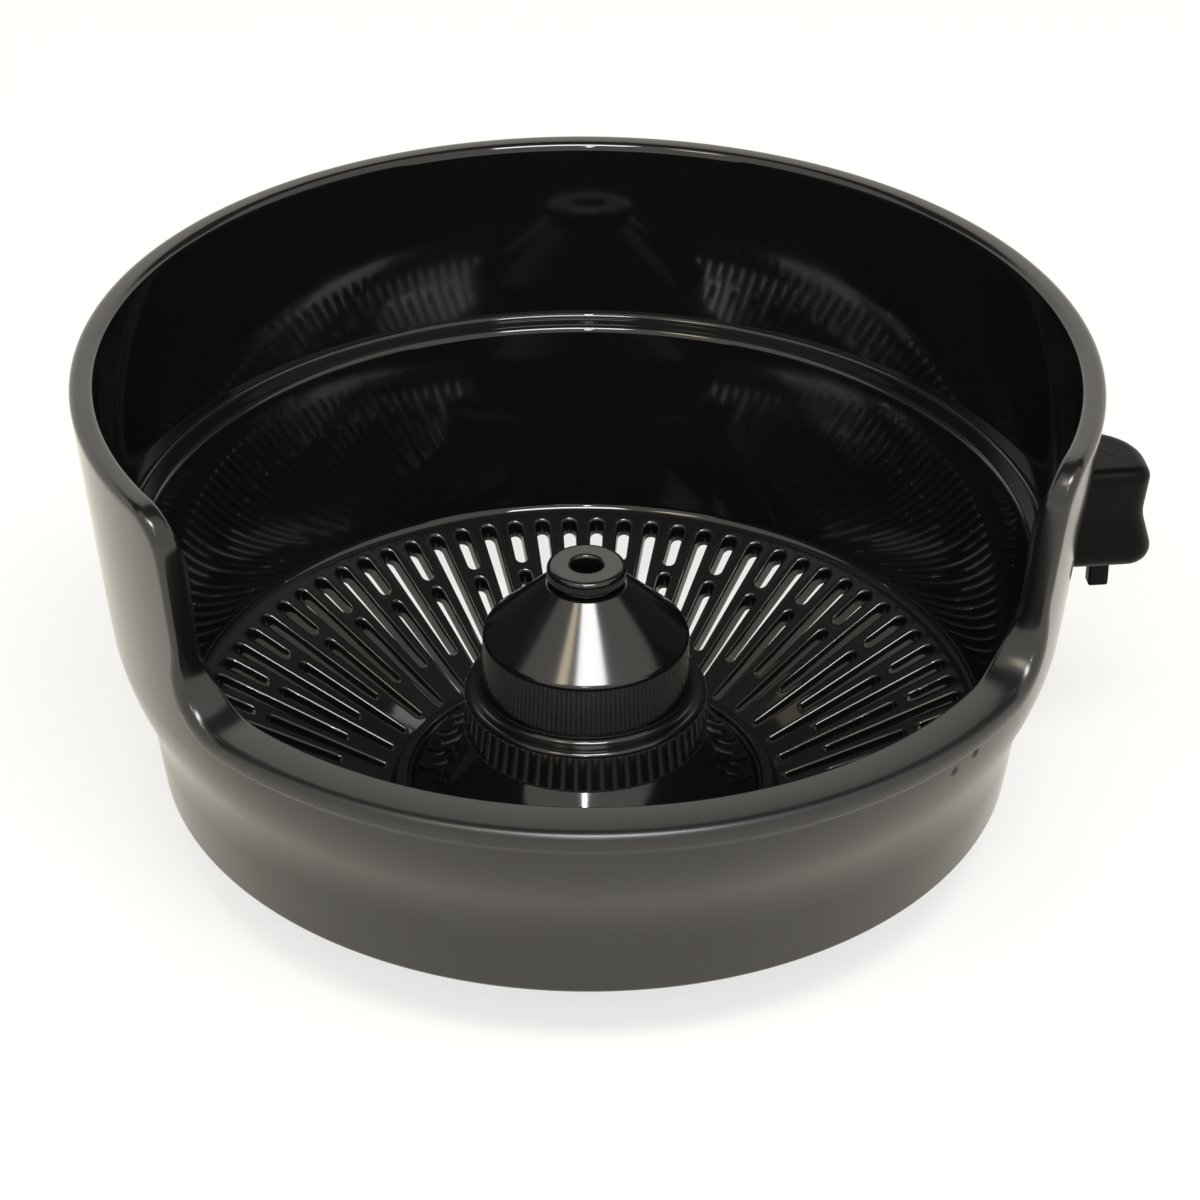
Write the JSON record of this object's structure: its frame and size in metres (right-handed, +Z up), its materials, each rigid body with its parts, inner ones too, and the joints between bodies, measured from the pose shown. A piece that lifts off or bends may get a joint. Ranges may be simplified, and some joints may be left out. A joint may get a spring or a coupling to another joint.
{
  "type": "citrus juicer bowl",
  "caption": "Round strainer bowl of a citrus press, with a stepped wall cut low at the front, a slotted funnel floor, a hollow hub for the reamer and a side thumb tab.",
  "frame": {"origin": "on the bowl's axis, at the mouth of the socket in the foot ring, level with the surface it stands on", "axes": "+Z up along the bowl's axis, -Y through the middle of the front cut-out, +X through the thumb tab"},
  "size_m": [0.169, 0.156, 0.083],
  "materials": {
    "black_plastic": "polished moulding, glossy black"
  },
  "bodies": {
    "root": {"juicer_bowl": "black_plastic"}
  },
  "joints": []
}
